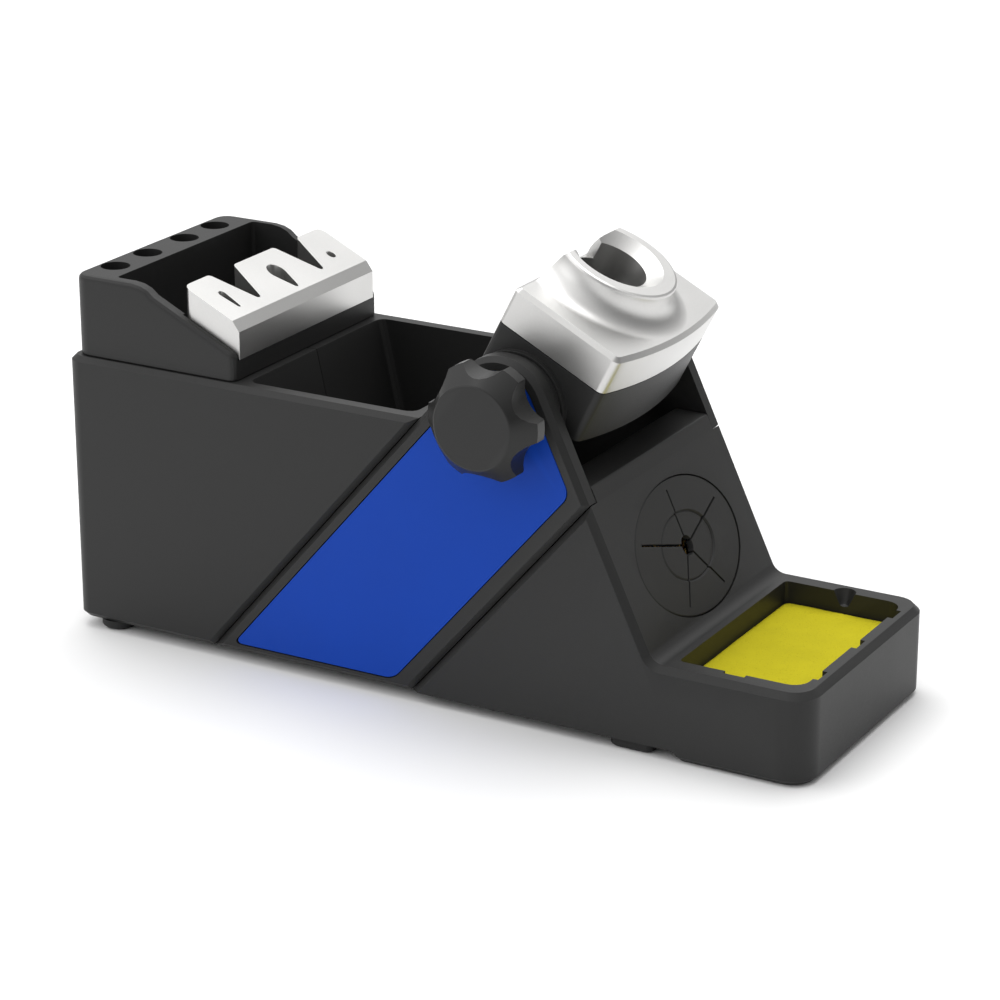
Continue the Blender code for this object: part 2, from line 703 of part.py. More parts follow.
def puller_plan():
    """Plan of the puller plate: three teeth towards the back, with a round-ended V notch between each two."""
    rear, mouth = PULLER_TOP_REAR[0], 6.5
    points = [(rear, -PULLER_HALF_WIDTH), (PULLER_FRONT_X + 1.0, -PULLER_HALF_WIDTH)]
    points += [(x, -y) for x, y in points[::-1]]
    for y in (PULLER_NOTCH_Y, -PULLER_NOTCH_Y):
        points += [(rear, y + mouth)] + arc((50.2, y), 1.15, 62.0, -62.0, 6) + [(rear, y - mouth)]
    return points


def keyhole_outline(x_round, y, r_round, x_point, r_point):
    """Two round ends of different size joined by straight sides, seen from above."""
    return arc((x_round, y), r_round, 75.0, 285.0, 12) + arc((x_point, y), r_point, -75.0, 75.0, 5)


def tip_puller(material):
    slope = math.tan(math.radians(RACK_SLOPE))
    x0, z0 = PULLER_TOP_REAR
    drop = lambda x: z0 - (x - x0) * slope
    under = lambda x: 92.0 + (PULLER_FRONT_X - x) * slope
    outline = [
        (x0, under(x0)),
        (PULLER_FRONT_X, 92.0),
        (PULLER_FRONT_X, 100.6),
        (54.9, drop(54.9)),
        (x0, z0),
    ]
    bm = prism(puller_plan(), 85.0, 120.0, "z")
    rear = lambda a, b: near_value(a.x, x0) and near_value(b.x, x0) and near_value(a.y, b.y)
    soften(bm, lambda a, b: rear(a, b) and abs(a.y) > PULLER_HALF_WIDTH - 1.0, 2.6, 4)
    soften(bm, lambda a, b: rear(a, b) and abs(a.y) < PULLER_HALF_WIDTH - 1.0, 1.0, 3)
    obj = mesh_object("tip_puller", bm, material)
    combine(obj, prism(outline, -PULLER_HALF_WIDTH - 2.0, PULLER_HALF_WIDTH + 2.0), "INTERSECT")
    cut(obj, prism(keyhole_outline(45.4, -28.4, 1.35, 51.0, 0.6), 80.0, 120.0, "z"))
    cut(obj, prism(keyhole_outline(45.8, 0.6, 3.3, 52.4, 0.9), 80.0, 120.0, "z"))
    cut(obj, rod(1.5, 80.0, 120.0, (47.9, 28.0), "z", 16))
    for y in (-PULLER_SCREW_Y, PULLER_SCREW_Y):
        cut(obj, rod(1.8, 85.0, 98.5, (PULLER_SCREW_X, y), "z", 16))
    return obj


# ---------------------------------------------------------------- iron holder


def block_outline(grow=0.0):
    """Plan of the holder block: straight back and sides, and a front that swells in one wide curve."""
    half = BLOCK_HALF_WIDTH + grow
    radius = (BLOCK_HALF_WIDTH**2 + BLOCK_BULGE**2) / (2 * BLOCK_BULGE)
    centre = (BLOCK_FRONT + BLOCK_BULGE - radius, 0.0)
    reach = math.degrees(math.asin(half / (radius + grow)))
    rear = BLOCK_REAR - grow
    return arc(centre, radius + grow, -reach, reach, 16) + [(rear, half), (rear, -half)]


def corner_edge(a, b):
    """True on the four upright corners of the holder block."""
    upright_edge = near_value(a.x, b.x) and near_value(a.y, b.y)
    return upright_edge and abs(a.y) > BLOCK_HALF_WIDTH - 1.0


def holder_cup(material):
    bm = prism(block_outline(), CUP_BASE, CUP_TOP, "z")
    soften(bm, corner_edge, 2.0, 4)
    obj = mesh_object("holder_cup", bm, material, HOLDER_ORIGIN, HOLDER_TILT)
    join(obj, rod(BOSS_RADIUS, -BOSS_END, BOSS_END, (0.0, 0.0), "y", 48))
    cut(obj, rod(BORE_RADIUS + 1.6, -30.0, 30.0, (COLLAR_CENTRE, 0.0), "z", 40))
    for side in (-1, 1):
        cut(obj, one_side(rod(4.3, 23.7, 40.0, (0.0, 0.0), "y", 24), side))
        for x, y in NOZZLE_SCREWS:
            cut(obj, rod(1.9, -30.0, 30.0, (x, side * y), "z", 12))
            cut(obj, rod(3.3, -30.0, CUP_TOP - 4.0, (x, side * y), "z", 16))
    return obj


def collar_profile():
    fillet = 7.5
    flare = arc((COLLAR_RADIUS + fillet, FLANGE_TOP + fillet), fillet, 270.0, 180.0, 6)
    lip = arc((COLLAR_RADIUS - 0.9, COLLAR_TOP - 0.9), 0.9, 0.0, 90.0, 2)
    base = FLANGE_TOP - 1.0
    return [(0.0, base), (flare[0][0], base)] + flare + lip + [(14.9, COLLAR_TOP), (0.0, COLLAR_TOP)]


def nozzle(material):
    bm = prism(block_outline(), CUP_TOP + GAP, FLANGE_TOP, "z")
    soften(bm, corner_edge, 2.0, 4)
    soften(bm, lambda a, b: near_value(a.z, FLANGE_TOP) and near_value(b.z, FLANGE_TOP), 1.3)
    obj = mesh_object("nozzle", bm, material, HOLDER_ORIGIN, HOLDER_TILT)
    collar = moved(lathe(collar_profile(), 60), (LIP_CENTRE, 0.0, 0.0))
    trim = prism(block_outline(-1.35), 20.0, 60.0, "z")
    combine(join(obj, collar), trim, "INTERSECT")
    depth = 14.9 - BORE_RADIUS
    bore = [
        (0.0, 10.0),
        (BORE_RADIUS, 10.0),
        (BORE_RADIUS, COLLAR_TOP - depth * 0.75),
        (14.9, COLLAR_TOP),
        (16.0, COLLAR_TOP + 1.0),
        (0.0, COLLAR_TOP + 1.0),
    ]
    cut(obj, moved(lathe(bore, 48), (COLLAR_CENTRE, 0.0, 0.0)))
    cut(obj, box_mesh((-30.0, -7.0, FLANGE_TOP + 0.6), (COLLAR_CENTRE - 5.0, 7.0, 60.0)))
    fall = [(-15.4, 31.2), (-14.5, 35.5), (-13.5, 38.3), (-12.2, COLLAR_TOP + 0.4)]
    cut(obj, prism([(-30.0, 31.2)] + fall + [(-30.0, COLLAR_TOP + 0.4)], -30.0, 30.0, "y"))
    for side in (-1, 1):
        for x, y in NOZZLE_SCREWS:
            cut(obj, rod(1.8, 10.0, CUP_TOP + 7.0, (x, side * y), "z", 16))
    return obj


def screw_mesh(head_radius, head, shank_radius, shank):
    """A screw along Z with its head's top at 0 and its shank going down, with a driver recess in the head."""
    recess = shank_radius * 0.8
    profile = [
        (0.0, -head - shank),
        (shank_radius, -head - shank),
        (shank_radius, -head),
        (head_radius, -head),
        (head_radius, 0.0),
        (recess, 0.0),
        (0.0, -head * 0.6),
    ]
    return lathe(profile, 12)


def nozzle_screw(index, x, y, material):
    bm = screw_mesh(2.9, 2.6, 1.5, 9.5)
    bmesh.ops.transform(bm, matrix=Matrix.Rotation(math.pi, 4, "X"), verts=bm.verts)
    head = CUP_TOP - 4.0 - GAP - 2.6
    bm = moved(bm, (x, y, head))
    return mesh_object(f"nozzle_screw_{index}", bm, material, HOLDER_ORIGIN, HOLDER_TILT)


def pivot_insert(side, material):
    """Threaded brass sleeve moulded into the cup's boss, where the clamp stud or the pivot screw goes in."""
    profile = [(2.8, -BOSS_END + 0.2), (4.0, -BOSS_END + 0.2), (4.0, -24.0), (2.8, -24.0)]
    bm = one_side(turned(lathe(profile, 28), "y"), -side)
    return mesh_object(side_name("pivot_insert", side), bm, material, HOLDER_ORIGIN, HOLDER_TILT)


def friction_washer(side, material):
    low, high = -EAR_INSIDE + GAP, -BOSS_END - GAP
    bm = one_side(turned(lathe([(4.5, low), (15.4, low), (15.4, high), (4.5, high)], 32), "y"), -side)
    return mesh_object(side_name("friction_washer", side), bm, material, HOLDER_ORIGIN, HOLDER_TILT)


def pivot_screw(material):
    """Low-headed shoulder screw that carries the holder on the far ear."""
    profile = [
        (0.0, 26.0),
        (2.5, 26.0),
        (2.5, BOSS_END + 0.3),
        (3.0, BOSS_END + 0.3),
        (3.0, HALF_WIDTH - 1.5 + GAP),
        (6.5, HALF_WIDTH - 1.5 + GAP),
        (6.5, FAR_END_Y - 0.6),
        (5.9, FAR_END_Y),
        (2.0, FAR_END_Y),
        (2.0, FAR_END_Y - 1.4),
        (0.0, FAR_END_Y - 1.4),
    ]
    bm = turned(lathe(profile, 24), "y")
    return mesh_object("pivot_screw", bm, material, HOLDER_ORIGIN, HOLDER_TILT)


# ---------------------------------------------------------------- clamp knob


def clamp_knob(material):
    profile = [
        (0.0, KNOB_FACE_Y),
        (KNOB_FACE_RADIUS - 0.4, KNOB_FACE_Y),
        (KNOB_FACE_RADIUS, KNOB_FACE_Y + 0.2),
        (KNOB_RADIUS - 0.3, KNOB_RIM_Y - 0.1),
        (KNOB_RADIUS, KNOB_RIM_Y + 0.2),
        (KNOB_RADIUS, KNOB_BACK_Y - 0.4),
        (KNOB_RADIUS - 0.4, KNOB_BACK_Y),
        (11.5, KNOB_BACK_Y),
        (9.0, -HALF_WIDTH - 2 * GAP),
        (7.0, -HALF_WIDTH - 2 * GAP),
        (7.0, -HALF_WIDTH + 1.5 - GAP),
        (0.0, -HALF_WIDTH + 1.5 - GAP),
    ]
    bm = turned(lathe(profile, 60), "y")
    obj = mesh_object("clamp_knob", bm, material, HOLDER_ORIGIN)
    for k in range(KNOB_LOBES):
        c, s = normal(KNOB_TURN + 360.0 * k / KNOB_LOBES)
        cut(obj, rod(9.3, KNOB_FACE_Y - 5.0, KNOB_BACK_Y + 1.2, (23.4 * c, 23.4 * s), "y", 30))
    cut(obj, rod(2.5 + GAP, -54.5, -30.0, (0.0, 0.0), "y", 24))
    return obj


def clamp_stud(material):
    profile = [(0.0, -54.2), (2.1, -54.2), (2.5, -53.8), (2.5, -26.4), (2.1, -26.0), (0.0, -26.0)]
    return mesh_object("clamp_stud", turned(lathe(profile, 24), "y"), material, HOLDER_ORIGIN)


# ---------------------------------------------------------------- fasteners of the stand


def shell_screw(name, x, z, material):
    bm = turned(screw_mesh(3.0, 3.0, 1.5, 21.0), "y")
    return mesh_object(name, moved(bm, (x, 10.3 + 3.0, z)), material)


def link_screw(name, line, towards_rear, side, material):
    """Screw through the walls of two neighbouring modules, with its head inside the middle one."""
    foot = meet(line, level(LINK_Z))
    bm = screw_mesh(2.9, 2.2, 1.5, 2 * WALL + 2.6)
    wall_face = WALL + MID_GAP + GAP + 2.2
    bm = moved(bm, (0.0, 0.0, wall_face))
    turn = SEAM_LEAN + 90.0 if towards_rear else SEAM_LEAN - 90.0
    bmesh.ops.transform(bm, matrix=Matrix.Rotation(math.radians(turn), 4, "Y"), verts=bm.verts)
    return mesh_object(name, moved(bm, (foot[0], side * LINK_Y, foot[1])), material)


def cover_screw(index, x, y, material):
    bm = screw_mesh(2.9, 0.8, 1.5, 8.0)
    bmesh.ops.transform(bm, matrix=Matrix.Rotation(math.pi, 4, "X"), verts=bm.verts)
    return mesh_object(f"cover_screw_{index}", moved(bm, (x, y, 0.0)), material)


def puller_screw(side, material):
    bm = screw_mesh(2.9, 2.2, 1.5, 8.0)
    bmesh.ops.transform(bm, matrix=Matrix.Rotation(math.pi, 4, "X"), verts=bm.verts)
    place = (PULLER_SCREW_X, side * PULLER_SCREW_Y, 88.6 - GAP - 2.2)
    return mesh_object(side_name("puller_screw", side), moved(bm, place), material)


# ---------------------------------------------------------------- the stand


def build_stand():
    body = plastic("body_plastic", (0.055, 0.055, 0.053), 0.55)
    knob = plastic("knob_plastic", (0.045, 0.045, 0.042), 0.5)
    blue = plastic("blue_panel", (0.018, 0.055, 0.40), 0.45)
    rubber = plastic("black_rubber", (0.05, 0.05, 0.05), 0.8)
    foam = plastic("yellow_sponge", (0.50, 0.44, 0.03), 0.9)
    nylon = plastic("washer_nylon", (0.03, 0.03, 0.03), 0.5)
    silver = metal("satin_aluminium", (0.86, 0.85, 0.83), 0.3)
    steel = metal("screw_steel", (0.56, 0.55, 0.54), 0.35)
    brass = metal("brass", (0.75, 0.55, 0.22), 0.35)

    for side in (-1, 1):
        rear_shell(side, body)
        middle_shell(side, body)
        badge_panel(side, blue)
        round_foot(side, rubber)
        long_foot(side, rubber)
        puller_screw(side, steel)
        pivot_insert(side, brass)
        friction_washer(side, nylon)
        link_screw(side_name("rear_link_screw", side), REAR_SEAM, True, side, steel)
        link_screw(side_name("front_link_screw", side), FRONT_SEAM, False, side, steel)
    rear_cover_plate(body)
    front_housing(body)
    base_cover(body)
    brass_wool(brass)
    wiping_membrane(rubber)
    sponge(foam)
    tip_rack(body)
    tip_puller(silver)
    holder_cup(body)
    nozzle(silver)
    pivot_screw(steel)
    clamp_knob(knob)
    clamp_stud(steel)
    for i, (x, z) in enumerate(SHELL_SCREWS, 1):
        shell_screw(f"rear_shell_screw_{i}", x, z, steel)
    for i, (x, z) in enumerate(MIDDLE_SCREWS, 1):
        shell_screw(f"middle_shell_screw_{i}", x, z, steel)
    corners = [(x, side * y) for x, y in COVER_SCREWS for side in (-1, 1)]
    for i, (x, y) in enumerate(corners, 1):
        cover_screw(i, x, y, steel)
    places = [(x, side * y) for x, y in NOZZLE_SCREWS for side in (-1, 1)]
    for i, (x, y) in enumerate(places, 1):
        nozzle_screw(i, x, y, steel)


for old in list(bpy.data.objects):
    bpy.data.objects.remove(old, do_unlink=True)
build_stand()
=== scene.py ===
"""Looks of the soldering iron stand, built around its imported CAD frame.

Every length is in metres. The stand runs along X with its sponge tray at +X, Y runs across it and Z is up.
"""

import json
import math
import random

import bmesh
import bpy
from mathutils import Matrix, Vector, noise

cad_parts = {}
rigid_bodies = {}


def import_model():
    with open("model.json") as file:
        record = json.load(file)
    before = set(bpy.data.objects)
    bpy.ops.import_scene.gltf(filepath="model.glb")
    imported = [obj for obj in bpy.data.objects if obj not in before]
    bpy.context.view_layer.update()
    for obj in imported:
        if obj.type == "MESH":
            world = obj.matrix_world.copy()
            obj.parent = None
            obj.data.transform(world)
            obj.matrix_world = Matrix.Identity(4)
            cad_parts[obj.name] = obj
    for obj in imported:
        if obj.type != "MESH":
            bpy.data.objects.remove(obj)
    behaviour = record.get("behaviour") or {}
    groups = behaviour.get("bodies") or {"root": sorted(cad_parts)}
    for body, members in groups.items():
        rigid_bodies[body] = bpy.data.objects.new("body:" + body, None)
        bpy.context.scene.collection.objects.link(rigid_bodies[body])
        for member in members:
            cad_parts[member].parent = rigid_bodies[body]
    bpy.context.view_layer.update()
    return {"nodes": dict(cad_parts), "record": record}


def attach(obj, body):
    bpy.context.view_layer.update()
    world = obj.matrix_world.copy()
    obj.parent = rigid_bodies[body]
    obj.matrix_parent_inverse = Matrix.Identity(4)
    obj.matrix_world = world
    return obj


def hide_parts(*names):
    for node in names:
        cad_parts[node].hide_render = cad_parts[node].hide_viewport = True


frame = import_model()

MM = 0.001
BODIES = frame["record"]["behaviour"]["bodies"]
BODY_OF = {node: body for body, nodes in BODIES.items() for node in nodes}
SLOT_OF = {part["node"]: part["material_slot"] for part in frame["record"]["subparts"]}

# Camera and studio
CAMERA_PLACE = (0.4635, -0.7994, 0.3909)
CAMERA_AZIMUTH = 29.65
CAMERA_ELEVATION = 20.11
CAMERA_LENS = 118.0
CAMERA_SENSOR = 36.0
FLOOR_REACH = 12.0
# Sky strength as (from, to, strength at from, strength at to) along one axis of the view direction
SKY_BY_HEIGHT = (0.0, 0.75, 0.42, 1.3)
SKY_BY_SIDE = (-0.2, 0.8, 1.05, 0.35)
FLOOR_DROP = 0.3 * MM

# Soft pieces
CURL_STEPS = 14  # points in one turn of a wool curl
CURL_COUNT = 420
RIBBON_THICKNESS = 0.06 * MM
WOOL_MARGIN = 0.7 * MM  # how far the middle of a ribbon stays inside the wool's solid
SPONGE_VOXEL = 0.7 * MM
SPONGE_EDGE = 0.7 * MM
SPONGE_CROWN = 0.35 * MM
SPONGE_SIDE_SWELL = 0.35 * MM
SPONGE_UNEVENNESS = 0.10 * MM
PORE_DEPTH = 0.22 * MM
PORE_REACH = 0.30  # part of a cell that its pore takes up
DEFAULT_EDGE = 0.12


# ---------------------------------------------------------------- node materials


class Nodes:
    """A short way to write a material's node tree."""

    def __init__(self, name):
        self.material = bpy.data.materials.new(name)
        self.material.use_nodes = True
        self.tree = self.material.node_tree
        self.shader = self.tree.nodes["Principled BSDF"]
        self.coords = self.add("ShaderNodeTexCoord").outputs["Object"]

    def add(self, kind, **settings):
        node = self.tree.nodes.new(kind)
        for key, value in settings.items():
            setattr(node, key, value)
        return node

    def link(self, source, target):
        self.tree.links.new(source, target)

    def set(self, **values):
        for key, value in values.items():
            self.shader.inputs[key.replace("_", " ")].default_value = value

    def noise(self, scale, detail=3.0, roughness=0.5, coords=None):
        node = self.add("ShaderNodeTexNoise")
        node.inputs["Scale"].default_value = scale
        node.inputs["Detail"].default_value = detail
        node.inputs["Roughness"].default_value = roughness
        self.link(coords or self.coords, node.inputs["Vector"])
        return node.outputs["Fac"]

    def stretched(self, scale):
        node = self.add("ShaderNodeMapping")
        node.inputs["Scale"].default_value = scale
        self.link(self.coords, node.inputs["Vector"])
        return node.outputs["Vector"]

    def remap(self, value, low, high, to_low, to_high):
        node = self.add("ShaderNodeMapRange")
        for name, number in zip(("From Min", "From Max", "To Min", "To Max"), (low, high, to_low, to_high)):
            node.inputs[name].default_value = number
        self.link(value, node.inputs["Value"])
        return node.outputs["Result"]

    def maths(self, operation, first, second):
        node = self.add("ShaderNodeMath", operation=operation)
        for socket, value in zip(node.inputs, (first, second)):
            if isinstance(value, (int, float)):
                socket.default_value = value
            else:
                self.link(value, socket)
        return node.outputs["Value"]

    def mix(self, factor, first, second):
        node = self.add("ShaderNodeMix", data_type="RGBA")
        self.link(factor, node.inputs["Factor"])
        for socket, value in zip((node.inputs[6], node.inputs[7]), (first, second)):
            if isinstance(value, tuple):
                socket.default_value = (*value, 1.0)
            else:
                self.link(value, socket)
        return node.outputs[2]

    def bump(self, height, distance, strength=1.0, under=None):
        node = self.add("ShaderNodeBump")
        node.inputs["Distance"].default_value = distance
        node.inputs["Strength"].default_value = strength
        self.link(height, node.inputs["Height"])
        if under:
            self.link(under, node.inputs["Normal"])
        return node.outputs["Normal"]

    def edges(self, low=0.52, high=0.62):
        return self.remap(self.add("ShaderNodeNewGeometry").outputs["Pointiness"], low, high, 0.0, 1.0)

    def finish(self, colour=None, roughness=None, normal=None):
        for name, value in (("Base Color", colour), ("Roughness", roughness), ("Normal", normal)):
            if value is not None:
                self.link(value, self.shader.inputs[name])
        return self.material


def moulded_plastic(name, colour, roughness, grain=0.00004, worn=1.25, specular=0.45):
    """Spark-textured moulding: a fine grain, a faint cloudiness, polished edges and painted shade darkening
    the hollows.
    """
    n = Nodes(name)
    n.set(Specular_IOR_Level=specular)
    fine = n.noise(2600.0, 3.0, 0.6)
    cloud = n.noise(14.0, 4.0, 0.55)
    darker, paler = tuple(c * 0.94 for c in colour), tuple(c * 1.06 for c in colour)
    shade = n.mix(n.remap(cloud, 0.3, 0.7, 0.0, 1.0), darker, paler)
    tone = n.mix(n.edges(), shade, tuple(c * worn for c in colour))
    # painted shade: concave hollows and creases darkened to 0.4 of the colour
    tone = n.mix(n.edges(0.47, 0.40), tone, tuple(c * 0.4 for c in colour))
    patches = n.remap(cloud, 0.3, 0.7, roughness - 0.03, roughness + 0.03)
    rough = n.maths("ADD", patches, n.remap(fine, 0.3, 0.7, -0.03, 0.03))
    return n.finish(tone, rough, n.bump(fine, grain, 0.8))


def cast_metal(name, colour, roughness):
    """Satin die casting: a fine tumbled grain over a slow waviness."""
    n = Nodes(name)
    n.set(Metallic=1.0)
    grain = n.noise(1500.0, 4.0, 0.65)
    wave = n.noise(45.0, 2.0, 0.5)
    tone = n.mix(n.remap(grain, 0.35, 0.65, 0.0, 1.0), tuple(c * 0.97 for c in colour), colour)
    patches = n.remap(wave, 0.3, 0.7, roughness - 0.03, roughness + 0.04)
    rough = n.maths("ADD", patches, n.remap(grain, 0.3, 0.7, -0.02, 0.02))
    return n.finish(tone, rough, n.bump(grain, 0.000012, 0.6, n.bump(wave, 0.00008, 0.25)))


def machined_metal(name, colour, roughness, along):
    """Plate with straight fine tool lines in one direction."""
    n = Nodes(name)
    n.set(Metallic=1.0)
    lines = n.noise(900.0, 3.0, 0.6, n.stretched(along))
    grain = n.noise(1800.0, 3.0, 0.6)
    tone = n.mix(n.remap(lines, 0.35, 0.65, 0.0, 1.0), tuple(c * 0.95 for c in colour), colour)
    patches = n.remap(lines, 0.3, 0.7, roughness - 0.03, roughness + 0.03)
    rough = n.maths("ADD", patches, n.remap(grain, 0.3, 0.7, -0.02, 0.02))
    return n.finish(tone, rough, n.bump(grain, 0.00001, 0.5, n.bump(lines, 0.00001, 0.6)))


def soft_rubber(name, colour):
    """Matt rubber with a little dust on it and painted shade turning its hollows near black."""
    n = Nodes(name)
    n.set(Specular_IOR_Level=0.35)
    fine = n.noise(1800.0, 3.0, 0.6)
    dust = n.noise(60.0, 5.0, 0.6)
    tone = n.mix(n.remap(dust, 0.45, 0.75, 0.0, 1.0), colour, tuple(c * 1.3 for c in colour))
    # painted shade: concave hollows and grooves darkened to near black
    tone = n.mix(n.edges(0.49, 0.44), tone, (0.001, 0.001, 0.001))
    return n.finish(tone, n.remap(dust, 0.3, 0.7, 0.62, 0.75), n.bump(fine, 0.00005, 0.7))


def wool_brass(name):
    """Bright brass ribbon, streaked along its turnings."""
    n = Nodes(name)
    n.set(Metallic=1.0)
    streak = n.noise(700.0, 3.0, 0.6)
    tone = n.mix(n.remap(streak, 0.3, 0.7, 0.0, 1.0), (0.66, 0.40, 0.10), (0.95, 0.72, 0.28))
    return n.finish(tone, n.remap(streak, 0.3, 0.7, 0.18, 0.34), n.bump(streak, 0.00002, 0.5))


def sponge_cells(name):
    """Fine cellulose foam: small pores with painted shade darkening their insides, over a slightly uneven
    yellow.
    """
    n = Nodes(name)
    n.set(Specular_IOR_Level=0.12)
    cells = []
    for scale in (900.0, 1900.0):
        node = n.add("ShaderNodeTexVoronoi")
        node.inputs["Scale"].default_value = scale
        n.link(n.coords, node.inputs["Vector"])
        cells.append(n.remap(node.outputs["Distance"], 0.08, 0.34, 0.0, 1.0))
    height = n.maths("MULTIPLY", cells[0], cells[1])
    cloud = n.noise(90.0, 4.0, 0.6)
    base = n.mix(n.remap(cloud, 0.3, 0.7, 0.0, 1.0), (0.50, 0.44, 0.012), (0.55, 0.485, 0.016))
    # painted shade: the middle of each pore cell is darkened
    tone = n.mix(n.remap(height, 0.0, 0.5, 0.0, 1.0), (0.42, 0.365, 0.009), base)
    return n.finish(tone, n.remap(cloud, 0.3, 0.7, 0.85, 0.95), n.bump(height, 0.00015, 0.4))


MATERIALS = {
    "dark_plastic": lambda: moulded_plastic("dark_plastic", (0.0190, 0.0190, 0.0188), 0.44, specular=0.29),
    "knob_plastic": lambda: moulded_plastic(
        "knob_plastic", (0.0145, 0.0145, 0.0143), 0.32, 0.00001, specular=0.33
    ),
    "blue_panel": lambda: moulded_plastic("blue_panel", (0.002, 0.048, 0.375), 0.5, 0.000015, 1.1, 0.16),
    "satin_aluminium": lambda: cast_metal("satin_aluminium", (0.63, 0.626, 0.615), 0.36),
    "steel": lambda: machined_metal("steel", (0.56, 0.55, 0.54), 0.32, (1.0, 1.0, 12.0)),
    "brass": lambda: wool_brass("brass"),
    "foot_rubber": lambda: soft_rubber("foot_rubber", (0.018, 0.018, 0.018)),
    "membrane_rubber": lambda: soft_rubber("membrane_rubber", (0.024, 0.024, 0.024)),
    "washer_nylon": lambda: moulded_plastic("washer_nylon", (0.012, 0.012, 0.012), 0.45),
    "yellow_sponge": lambda: sponge_cells("yellow_sponge"),
}
made = {}


def material(slot):
    if slot not in made:
        made[slot] = MATERIALS[slot]()
    return made[slot]


# ---------------------------------------------------------------- pieces made from the CAD solids


def clean_copy(node):
    """The CAD solid as whole flat faces: vertices merged and coplanar triangles joined."""
    bm = bmesh.new()
    bm.from_mesh(frame["nodes"][node].data)
    bmesh.ops.remove_doubles(bm, verts=bm.verts, dist=2e-6)
    bmesh.ops.dissolve_limit(bm, angle_limit=math.radians(0.6), verts=bm.verts, edges=list(bm.edges))
    return bm


def new_piece(name, bm, slot):
    mesh = bpy.data.meshes.new(name)
    bm.to_mesh(mesh)
    bm.free()
    mesh.shade_smooth()
    obj = bpy.data.objects.new(name, mesh)
    bpy.context.scene.collection.objects.link(obj)
    mesh.materials.clear()
    mesh.materials.append(material(slot))
    return obj


def apply_modifiers(obj):
    graph = bpy.context.evaluated_depsgraph_get()
    mesh = bpy.data.meshes.new_from_object(obj.evaluated_get(graph), depsgraph=graph)
    obj.modifiers.clear()
    obj.data = mesh
    return obj


def stand_for(obj, node):
    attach(obj, BODY_OF[node])
    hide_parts(node)
    return obj


def eased(node, width, segments=3, angle=20.0):
    """The CAD solid with its sharp edges rounded a little, as a mould leaves them."""
    obj = new_piece(f"{node}_body", clean_copy(node), SLOT_OF[node])
    bevel = obj.modifiers.new("Edges", "BEVEL")
    bevel.width = width
    bevel.segments = segments
    bevel.limit_method = "ANGLE"
    bevel.angle_limit = math.radians(angle)
    bevel.harden_normals = False
    bevel.use_clamp_overlap = True
    shading = obj.modifiers.new("Shading", "WEIGHTED_NORMAL")
    shading.keep_sharp = True
    apply_modifiers(obj)
    return stand_for(obj, node)


# ---------------------------------------------------------------- soft pieces


def foam_block(node):
    """The sponge as a fine mesh: soft edges, a slight crown and unevenness, and shallow open pores."""
    obj = new_piece(f"{node}_foam", clean_copy(node), SLOT_OF[node])
    bevel = obj.modifiers.new("Edges", "BEVEL")
    bevel.width = SPONGE_EDGE
    bevel.segments = 3
    remesh = obj.modifiers.new("Remesh", "REMESH")
    remesh.mode = "VOXEL"
    remesh.voxel_size = SPONGE_VOXEL
    remesh.use_smooth_shade = True
    apply_modifiers(obj)
    points = [v.co for v in obj.data.vertices]
    low = [min(p[i] for p in points) for i in range(3)]
    high = [max(p[i] for p in points) for i in range(3)]
    for vertex, shade in zip(obj.data.vertices, [v.normal.copy() for v in obj.data.vertices]):
        p = vertex.co
        across = [(2.0 * p[i] - low[i] - high[i]) / (high[i] - low[i]) for i in range(2)]
        swell = SPONGE_CROWN * (1.0 - across[0] ** 2) * (1.0 - across[1] ** 2) * max(shade.z, 0.0)
        swell += SPONGE_SIDE_SWELL * (1.0 - abs(shade.z))
        uneven = SPONGE_UNEVENNESS * noise.noise(p * 160.0)
        nearest = noise.voronoi(p * 620.0)[0][0]
        pore = PORE_DEPTH * max(0.0, PORE_REACH - nearest) / PORE_REACH
        vertex.co = p + shade * (swell + uneven - pore)
    return stand_for(obj, node)


def inside_point(solid, draw, low, high):
    """A random point that lies at least 0.8 mm inside the solid."""
    while True:
        point = Vector([draw.uniform(a, b) for a, b in zip(low, high)])
        found, nearest, facing, _ = solid.closest_point_on_mesh(point)
        if found and (point - nearest).dot(facing) < -0.8 * MM:
            return point


def kept_inside(solid, point, margin):
    """The point itself, or the nearest one that is the margin below the surface."""
    found, nearest, facing, _ = solid.closest_point_on_mesh(point)
    if found and (point - nearest).dot(facing) > -margin:
        return nearest - facing * margin
    return point


def curl_points(draw, centre):
    """A loose helix about a random axis, like a shaving off a lathe."""
    axis = Vector([draw.gauss(0.0, 1.0) for _ in range(3)]).normalized()
    side = axis.orthogonal().normalized()
    other = axis.cross(side)
    radius = draw.uniform(2.6, 5.2) * MM
    pitch = draw.uniform(1.6, 3.6) * MM
    turns = draw.uniform(1.8, 3.4)
    phase = draw.uniform(0.0, 2.0 * math.pi)
    count = int(turns * CURL_STEPS)
    points = []
    for i in range(count + 1):
        angle = phase + 2.0 * math.pi * i / CURL_STEPS
        along = pitch * (i / CURL_STEPS - turns / 2.0)
        round_it = side * math.cos(angle) + other * math.sin(angle)
        points.append((centre + axis * along + round_it * radius, axis))
    return points


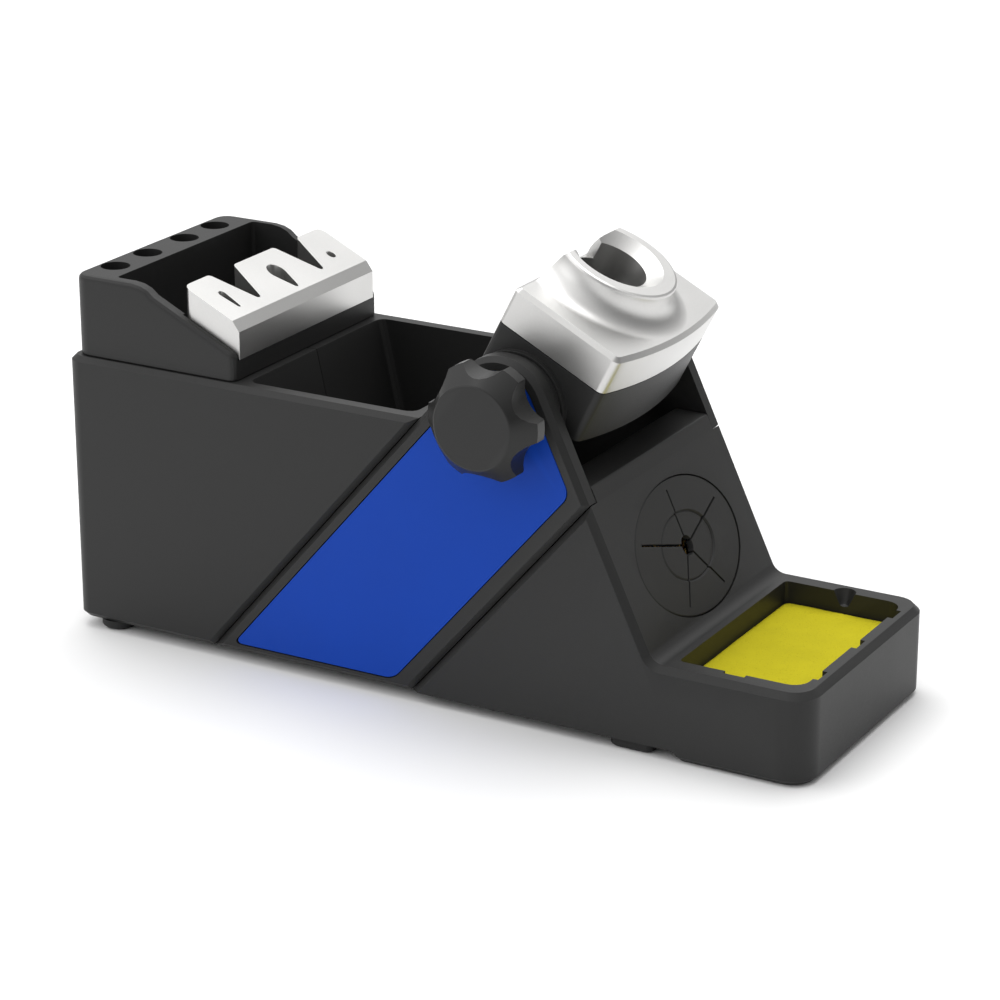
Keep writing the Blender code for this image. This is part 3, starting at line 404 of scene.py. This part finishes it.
def wool_curls(node):
    """Loose curls of thin flat brass ribbon that fill the space of the wool."""
    solid = frame["nodes"][node]
    draw = random.Random(11)
    points = [v.co for v in solid.data.vertices]
    low = [min(p[i] for p in points) for i in range(3)]
    high = [max(p[i] for p in points) for i in range(3)]
    bm = bmesh.new()
    for _ in range(CURL_COUNT):
        width = draw.uniform(0.35, 0.6) * MM
        thick = RIBBON_THICKNESS
        ring = None
        for point, axis in curl_points(draw, inside_point(solid, draw, low, high)):
            middle = kept_inside(solid, point, WOOL_MARGIN)
            outward = axis.orthogonal().normalized()
            corners = [(-width, -thick), (width, -thick), (width, thick), (-width, thick)]
            made_now = [bm.verts.new(middle + axis * a + outward * b) for a, b in corners]
            if ring:
                for i in range(4):
                    j = (i + 1) % 4
                    bm.faces.new((ring[i], ring[j], made_now[j], made_now[i]))
            else:
                bm.faces.new(made_now[::-1])
            ring = made_now
        bm.faces.new(ring)
    obj = new_piece(f"{node}_curls", bm, SLOT_OF[node])
    obj.matrix_world = solid.matrix_world.copy()
    return stand_for(obj, node)


# ---------------------------------------------------------------- studio


def studio():
    mesh = bpy.data.meshes.new("floor")
    r = FLOOR_REACH
    mesh.from_pydata([(-r, -r, 0), (r, -r, 0), (r, r, 0), (-r, r, 0)], [], [(0, 1, 2, 3)])
    floor = bpy.data.objects.new("floor", mesh)
    bpy.context.scene.collection.objects.link(floor)
    floor.location.z = -FLOOR_DROP
    n = Nodes("floor_white")
    n.set(Base_Color=(0.93, 0.93, 0.93, 1.0), Roughness=0.9, Specular_IOR_Level=0.0)
    mesh.materials.append(n.finish())

    world = bpy.data.worlds.new("studio")
    world.use_nodes = True
    bpy.context.scene.world = world
    tree = world.node_tree
    coords = tree.nodes.new("ShaderNodeTexCoord")
    split = tree.nodes.new("ShaderNodeSeparateXYZ")
    tree.links.new(coords.outputs["Generated"], split.inputs["Vector"])
    strength = tree.nodes.new("ShaderNodeMath")
    strength.operation = "MULTIPLY"
    for axis, socket, numbers in (("Z", 0, SKY_BY_HEIGHT), ("X", 1, SKY_BY_SIDE)):
        fade = tree.nodes.new("ShaderNodeMapRange")
        for name, number in zip(("From Min", "From Max", "To Min", "To Max"), numbers):
            fade.inputs[name].default_value = number
        tree.links.new(split.outputs[axis], fade.inputs["Value"])
        tree.links.new(fade.outputs["Result"], strength.inputs[socket])
    tree.links.new(strength.outputs["Value"], tree.nodes["Background"].inputs["Strength"])
    tree.nodes["Background"].inputs["Color"].default_value = (1.0, 1.0, 1.0, 1.0)


def area_light(name, place, target, size, power):
    light = bpy.data.lights.new(name, "AREA")
    light.shape = "RECTANGLE"
    light.size, light.size_y = size
    light.energy = power
    obj = bpy.data.objects.new(name, light)
    bpy.context.scene.collection.objects.link(obj)
    obj.location = place
    obj.rotation_euler = (Vector(target) - Vector(place)).to_track_quat("-Z", "Y").to_euler()


def lights():
    area_light("top_softbox", (-0.15, 0.35, 1.3), (0.0, 0.0, 0.05), (1.4, 1.1), 10.0)
    area_light("side_softbox", (-0.42, -0.42, 0.36), (-0.08, 0.0, 0.06), (0.5, 0.35), 0.5)


def camera():
    data = bpy.data.cameras.new("camera")
    data.lens = CAMERA_LENS
    data.sensor_width = CAMERA_SENSOR
    obj = bpy.data.objects.new("camera", data)
    bpy.context.scene.collection.objects.link(obj)
    obj.location = CAMERA_PLACE
    obj.rotation_euler = (math.radians(90.0 - CAMERA_ELEVATION), 0.0, math.radians(CAMERA_AZIMUTH))
    bpy.context.scene.camera = obj


# Rounding of each node's sharp edges, in millimetres
EDGE_WIDTH = {
    "rear_shell_near": 0.5, "rear_shell_far": 0.5, "middle_shell_near": 0.4, "middle_shell_far": 0.4,
    "front_housing": 0.5, "tip_rack": 0.45, "tip_puller": 0.25, "rear_cover_plate": 0.4, "base_cover": 0.2,
    "badge_panel_near": 0.1, "badge_panel_far": 0.1, "wiping_membrane": 0.08,
    "nozzle": 0.35, "holder_cup": 0.35, "clamp_knob": 0.3,
}

for old in list(bpy.data.objects):
    if old.type in ("LIGHT", "CAMERA") or old.name == "Cube":
        bpy.data.objects.remove(old)
bpy.context.scene.view_settings.view_transform = "Standard"
camera()
studio()
lights()
for node, body in BODY_OF.items():
    if node == "sponge":
        foam_block(node)
    elif node == "brass_wool":
        wool_curls(node)
    else:
        eased(node, EDGE_WIDTH.get(node, DEFAULT_EDGE) * MM)
